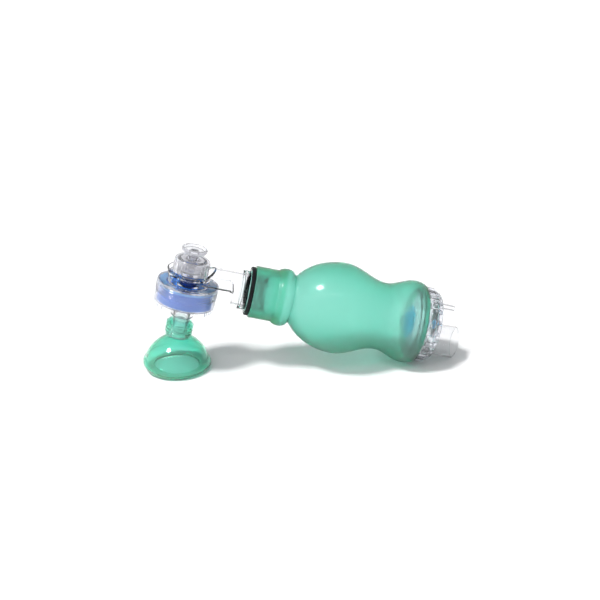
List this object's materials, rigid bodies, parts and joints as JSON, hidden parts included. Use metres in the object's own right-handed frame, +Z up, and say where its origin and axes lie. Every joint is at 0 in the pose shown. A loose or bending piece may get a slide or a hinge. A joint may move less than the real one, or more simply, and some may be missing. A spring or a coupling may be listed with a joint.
{
  "type": "bag valve mask",
  "caption": "Infant bag valve mask: peanut-shaped silicone squeeze bag, swivelling clear patient valve with pressure relief, round face mask and finned inlet end.",
  "frame": {"origin": "centre of the object's footprint on the table it lies on", "axes": "+Z up from the table; +X along the object's length, from the mask towards the inlet end; the bag axis slopes down by 13.4 degrees in the XZ plane"},
  "size_m": [0.3085, 0.088, 0.1239],
  "materials": {
    "clear_plastic": "clear, polished, moulded",
    "green_silicone": "translucent, satin",
    "mask_silicone": "translucent, smooth",
    "blue_silicone": "satin",
    "deep_blue_silicone": "satin",
    "blue_plastic": "moulded, satin",
    "white_silicone": "satin, slightly translucent",
    "black_rubber": "satin",
    "spring_steel": "drawn wire"
  },
  "bodies": {
    "bag": {"bag": "green_silicone", "neck_connector": "clear_plastic", "neck_oring": "black_rubber", "inlet_gasket": "black_rubber", "inlet_body": "clear_plastic", "inlet_flap_pin": "clear_plastic", "retaining_ring": "clear_plastic", "reservoir_adapter": "clear_plastic", "oxygen_nipple": "clear_plastic"},
    "valve": {"upper_housing": "clear_plastic", "popoff_cap": "clear_plastic", "popoff_cap_seal": "white_silicone", "popoff_spring": "spring_steel", "valve_gasket": "blue_silicone", "valve_carrier": "blue_plastic", "locking_ring": "clear_plastic", "lower_housing": "clear_plastic", "swivel_seal": "white_silicone", "swivel_clip": "clear_plastic"},
    "knob": {"popoff_knob": "clear_plastic"},
    "poppet": {"popoff_poppet": "deep_blue_silicone"},
    "lip": {"lip_valve": "deep_blue_silicone"},
    "flap": {"inlet_flap": "blue_silicone"},
    "air_flap": {"air_intake_flap": "blue_silicone"},
    "relief": {"relief_flap": "blue_silicone"},
    "mask": {"mask_connector": "clear_plastic", "mask_collar": "mask_silicone", "mask_dome": "mask_silicone", "mask_cushion": "mask_silicone"}
  },
  "joints": [
    {"name": "valve_swivel", "type": "hinge", "parent": "bag", "child": "valve", "pos_m": [-0.06696, 0, 0.08076], "axis": [0.9728, 0, -0.2317], "continuous": true},
    {"name": "mask_swivel", "type": "hinge", "parent": "valve", "child": "mask", "pos_m": [-0.11283, 0, 0.06084], "axis": [0.2317, 0, 0.9728], "continuous": true},
    {"name": "popoff_knob_press", "type": "slide", "parent": "valve", "child": "knob", "axis": [0.2317, 0, 0.9728], "range_m": [-0.003, 0], "stiffness_N_per_m": 60, "springref_m": 0.006, "deforming": ["popoff_spring"]},
    {"name": "popoff_poppet_lift", "type": "slide", "parent": "valve", "child": "poppet", "axis": [0.2317, 0, 0.9728], "range_m": [0, 0.002], "stiffness_N_per_m": 60, "springref_m": -0.006},
    {"name": "lip_valve_drop", "type": "slide", "parent": "valve", "child": "lip", "axis": [0.2317, 0, 0.9728], "range_m": [-0.0012, 0], "stiffness_N_per_m": 150, "springref_m": 0.0003},
    {"name": "inlet_flap_lift", "type": "slide", "parent": "bag", "child": "flap", "axis": [0.9728, 0, -0.2317], "range_m": [-0.0025, 0], "stiffness_N_per_m": 30, "springref_m": 0.0005},
    {"name": "air_intake_flap_lift", "type": "slide", "parent": "bag", "child": "air_flap", "axis": [0.9728, 0, -0.2317], "range_m": [-0.001, 0], "stiffness_N_per_m": 20, "springref_m": 0.0005},
    {"name": "relief_flap_lift", "type": "slide", "parent": "bag", "child": "relief", "axis": [0.9728, 0, -0.2317], "range_m": [0, 0.001], "stiffness_N_per_m": 20, "springref_m": -0.0005}
  ]
}
